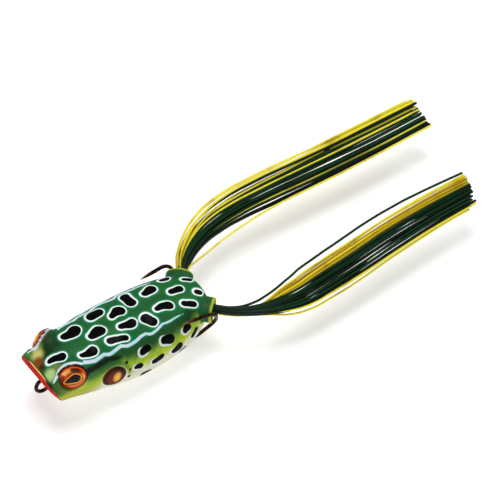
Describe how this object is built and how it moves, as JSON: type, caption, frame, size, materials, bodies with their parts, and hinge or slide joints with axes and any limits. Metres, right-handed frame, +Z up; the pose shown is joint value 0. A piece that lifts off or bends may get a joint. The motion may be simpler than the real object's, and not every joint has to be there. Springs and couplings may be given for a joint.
{
  "type": "hollow popping frog lure",
  "caption": "Soft hollow frog lure with a cupped mouth, a weighted upturned double hook and strand legs that trail and kick.",
  "frame": {"origin": "centre of the line-tie eye, in front of the cupped mouth", "axes": "+Y from the nose to the tail and along the trailing legs, +X to the frog's left side, +Z up through the back"},
  "size_m": [0.0539, 0.1729, 0.0222],
  "materials": {
    "body_skin": "soft painted vinyl with a clear top coat",
    "hook_steel": "dark bronze-black plated wire",
    "braze_metal": "dull brazing metal",
    "cast_lead": "dull cast lead",
    "eye_print": "printed orange and red iris",
    "eye_dome": "clear glossy dome",
    "band_rubber": "black rubber",
    "strand_green": "dark green silicone strands",
    "strand_yellow": "yellow silicone strands"
  },
  "bodies": {
    "lure": {"body_shell": "body_skin", "double_hook": "hook_steel", "shank_braze": "braze_metal", "belly_weight": "cast_lead", "left_eye_disc": "eye_print", "right_eye_disc": "eye_print", "left_eye_lens": "eye_dome", "right_eye_lens": "eye_dome", "left_skirt_band": "band_rubber", "right_skirt_band": "band_rubber", "left_skirt_root": "strand_green", "right_skirt_root": "strand_green"},
    "left_leg_near": {"left_near_green": "strand_green", "left_near_yellow": "strand_yellow"},
    "left_leg_far": {"left_far_green": "strand_green", "left_far_yellow": "strand_yellow"},
    "right_leg_near": {"right_near_green": "strand_green", "right_near_yellow": "strand_yellow"},
    "right_leg_far": {"right_far_green": "strand_green", "right_far_yellow": "strand_yellow"}
  },
  "joints": [
    {"name": "left_leg_swing", "type": "hinge", "parent": "lure", "child": "left_leg_near", "pos_m": [0.01003, 0.06111, 0.0047], "axis": [0, 0, -1], "range_deg": [-5, 15], "stiffness_Nm_per_rad": 0.01},
    {"name": "left_leg_lift", "type": "hinge", "parent": "left_leg_near", "child": "left_leg_far", "pos_m": [0.0213, 0.086, 0.006], "axis": [0.9998, -0.0186, 0], "range_deg": [-30, 30], "stiffness_Nm_per_rad": 0.02},
    {"name": "right_leg_swing", "type": "hinge", "parent": "lure", "child": "right_leg_near", "pos_m": [-0.01003, 0.06111, 0.0047], "axis": [0, 0, 1], "range_deg": [-5, 15], "stiffness_Nm_per_rad": 0.01},
    {"name": "right_leg_lift", "type": "hinge", "parent": "right_leg_near", "child": "right_leg_far", "pos_m": [-0.0228, 0.092, 0.006], "axis": [0.9993, 0.0381, 0], "range_deg": [-30, 30], "stiffness_Nm_per_rad": 0.02}
  ]
}
